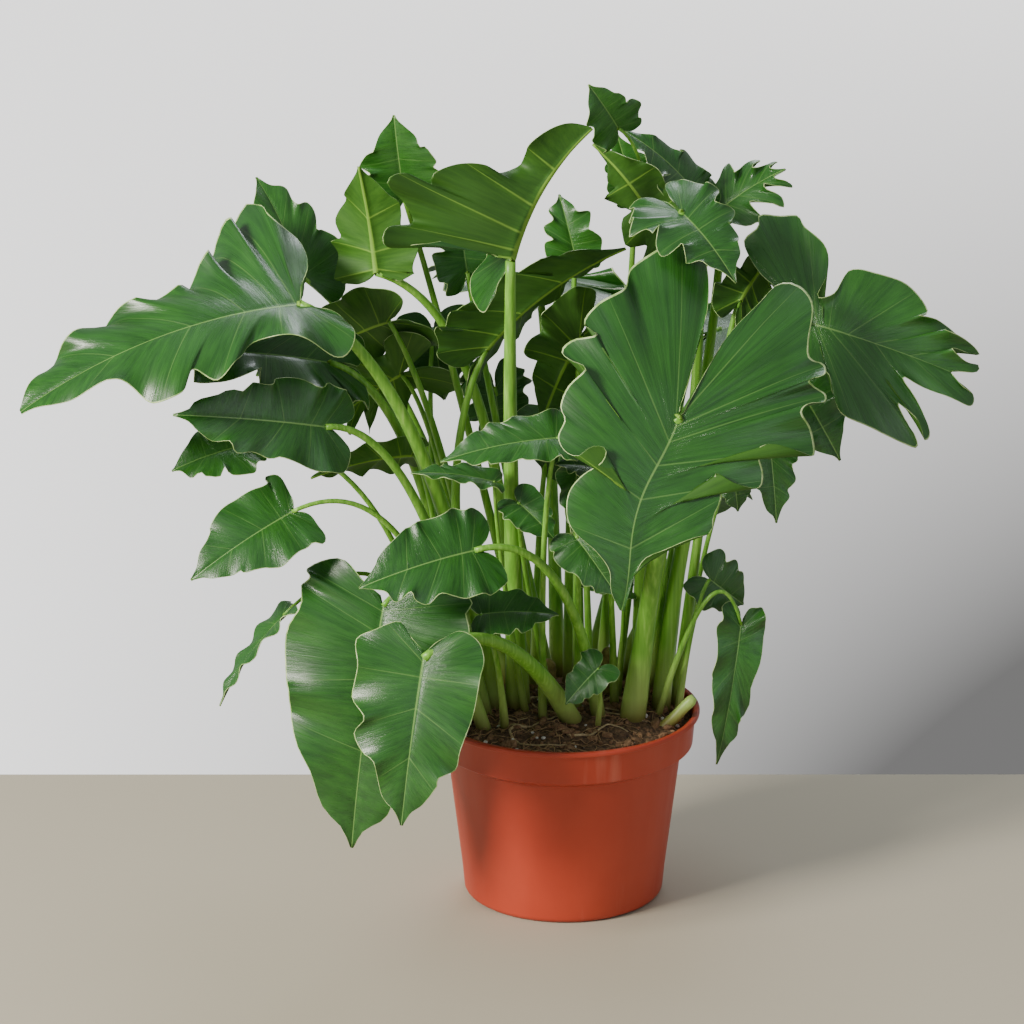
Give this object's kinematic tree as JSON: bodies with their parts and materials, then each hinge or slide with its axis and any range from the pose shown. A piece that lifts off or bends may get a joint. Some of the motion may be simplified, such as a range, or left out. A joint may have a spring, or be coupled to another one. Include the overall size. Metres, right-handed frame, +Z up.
{
  "type": "potted plant",
  "caption": "Bushy potted philodendron with long-stalked, wavy-lobed leaves arching out of a round tapered nursery pot filled with soil.",
  "frame": {"origin": "centre of the pot's underside", "axes": "+Z up along the pot's axis, +X to the right and -Y towards the front, where the broadest leaf hangs"},
  "size_m": [0.6859, 0.4772, 0.616],
  "materials": {
    "leaf": "glossy green leaf blades on lighter green stalks",
    "crown": "matte brown-green stem",
    "stub": "pale yellow-green cut stalk",
    "soil": "rough loose peat",
    "pot": "satin terracotta-coloured plastic"
  },
  "bodies": {
    "root": {"leaf_front_broad": "leaf", "leaf_right_fingered": "leaf", "leaf_left_far": "leaf", "leaf_left_bright": "leaf", "leaf_left_upright": "leaf", "leaf_left_under": "leaf", "leaf_top_left": "leaf", "leaf_left_second": "leaf", "leaf_left_third": "leaf", "leaf_left_small": "leaf", "leaf_left_dark": "leaf", "leaf_left_low": "leaf", "leaf_left_narrow": "leaf", "leaf_drooping_large": "leaf", "leaf_drooping_front": "leaf", "leaf_centre_left": "leaf", "leaf_centre_small": "leaf", "leaf_centre_bright": "leaf", "leaf_centre_round": "leaf", "leaf_centre_down": "leaf", "leaf_centre_dark": "leaf", "leaf_centre_right": "leaf", "leaf_low_dark": "leaf", "leaf_tiny_front": "leaf", "leaf_right_round": "leaf", "leaf_right_wavy": "leaf", "leaf_centre_top": "leaf", "leaf_centre_middle": "leaf", "leaf_upper_right": "leaf", "leaf_upper_right_flap": "leaf", "leaf_top_grey": "leaf", "leaf_top_tiny": "leaf", "leaf_top_dark": "leaf", "leaf_right_star": "leaf", "leaf_right_under": "leaf", "leaf_right_dark": "leaf", "leaf_right_drip": "leaf", "leaf_behind_broad": "leaf", "leaf_top_left_dark": "leaf", "leaf_back_top": "leaf", "leaf_back_centre": "leaf", "leaf_star_dark": "leaf", "leaf_behind_left": "leaf", "leaf_behind_middle": "leaf", "leaf_behind_stem": "leaf", "leaf_thin_yellow": "leaf", "leaf_back_left": "leaf", "leaf_back_middle": "leaf", "leaf_back_right": "leaf", "leaf_back_low": "leaf", "crown_left": "crown", "crown_right": "crown", "stub_front": "stub", "stub_middle": "stub", "soil": "soil", "pot": "pot"}
  },
  "joints": []
}
